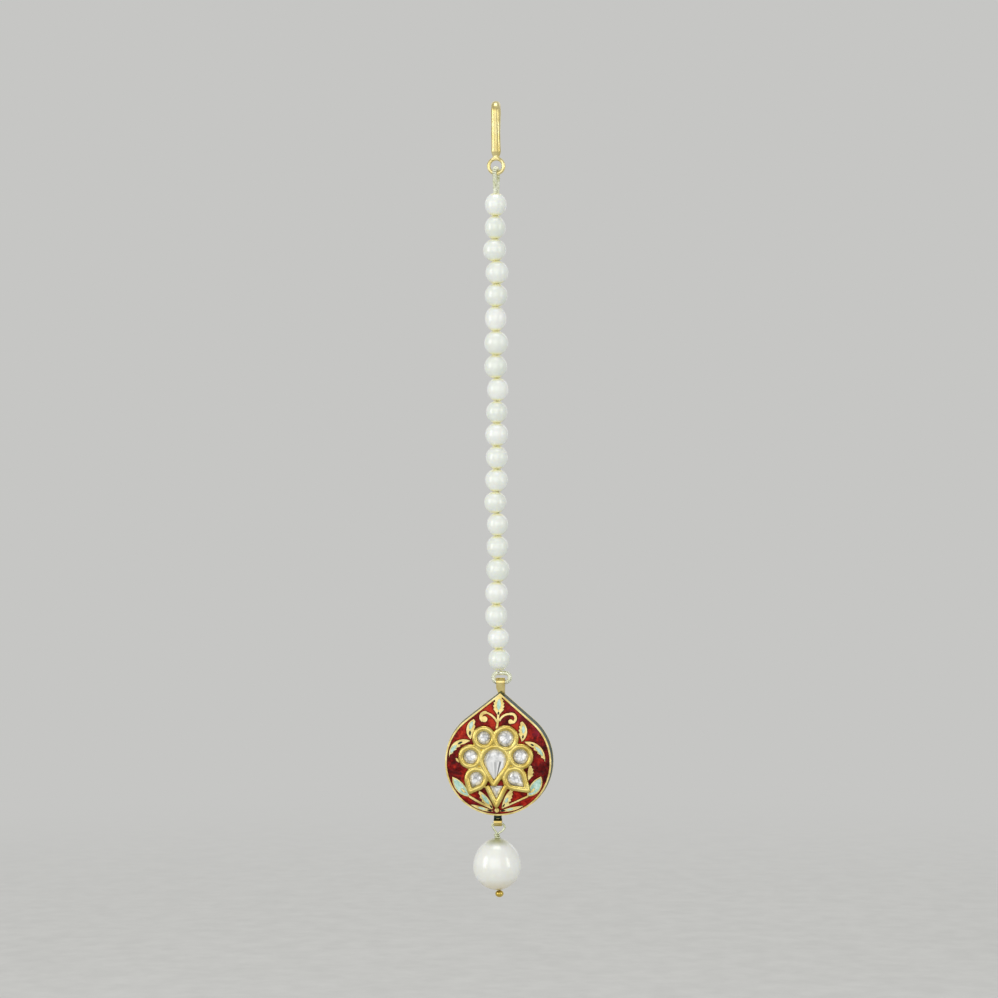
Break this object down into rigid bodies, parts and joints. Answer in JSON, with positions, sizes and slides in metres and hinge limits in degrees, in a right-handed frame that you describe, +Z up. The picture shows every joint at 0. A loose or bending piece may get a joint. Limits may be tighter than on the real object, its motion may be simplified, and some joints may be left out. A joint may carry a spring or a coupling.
{
  "type": "maang tikka",
  "caption": "Hair and forehead ornament: a gold hook carries a string of pearls and a pear-shaped enamelled gold pendant set with flat-cut stones, with a pearl drop below it.",
  "frame": {"origin": "inside top of the hook's bend, where the hair carries the ornament", "axes": "+Z up, along the hanging string; the pendant's set front faces -Y; +X to the right as the front is looked at"},
  "size_m": [0.0206, 0.0092, 0.1512],
  "materials": {
    "gold": "polished 22 carat gold",
    "kundan_gold": "burnished pure gold foil",
    "coiled_wire": "silver-gilt coiled wire",
    "wire": "polished silver-gilt wire",
    "thread": "silk",
    "pearl": "nacre lustre",
    "drop_pearl": "nacre lustre",
    "red_enamel": "translucent fired enamel, polished",
    "pale_enamel": "fired enamel, polished",
    "dark_green_enamel": "fired enamel, polished",
    "green_enamel": "translucent fired enamel, polished",
    "stone": "flat-cut and foil-backed"
  },
  "bodies": {
    "strand": {"hair_hook": "gold", "upper_coil_loop": "coiled_wire", "thread": "thread", "strand_pearl_01": "pearl", "strand_pearl_02": "pearl", "strand_pearl_03": "pearl", "strand_pearl_04": "pearl", "strand_pearl_05": "pearl", "strand_pearl_06": "pearl", "strand_pearl_07": "pearl", "strand_pearl_08": "pearl", "strand_pearl_09": "pearl", "strand_pearl_10": "pearl", "strand_pearl_11": "pearl", "strand_pearl_12": "pearl", "strand_pearl_13": "pearl", "strand_pearl_14": "pearl", "strand_pearl_15": "pearl", "strand_pearl_16": "pearl", "strand_pearl_17": "pearl", "strand_pearl_18": "pearl", "strand_pearl_19": "pearl", "strand_pearl_20": "pearl", "strand_pearl_21": "pearl", "lower_coil_loop": "coiled_wire"},
    "pendant": {"pendant_case": "gold", "kundan_setting": "kundan_gold", "red_enamel": "red_enamel", "pale_enamel": "pale_enamel", "dark_enamel": "dark_green_enamel", "side_enamel": "green_enamel", "back_enamel": "green_enamel", "neck_collar": "dark_green_enamel", "centre_stone": "stone", "petal_stone_1": "stone", "petal_stone_2": "stone", "petal_stone_3": "stone", "petal_stone_4": "stone", "petal_stone_5": "stone", "petal_stone_6": "stone", "base_stone": "stone"},
    "drop": {"drop_wire": "wire", "drop_pearl": "drop_pearl", "end_bead": "gold"}
  },
  "joints": [
    {"name": "pendant_swing", "type": "hinge", "parent": "strand", "child": "pendant", "pos_m": [0.00043, 0, -0.10919], "axis": [1, 0, 0], "range_deg": [-60, 60]},
    {"name": "drop_swing", "type": "hinge", "parent": "pendant", "child": "drop", "pos_m": [-0.0002, 0, -0.13603], "axis": [1, 0, 0], "range_deg": [-60, 60]}
  ]
}
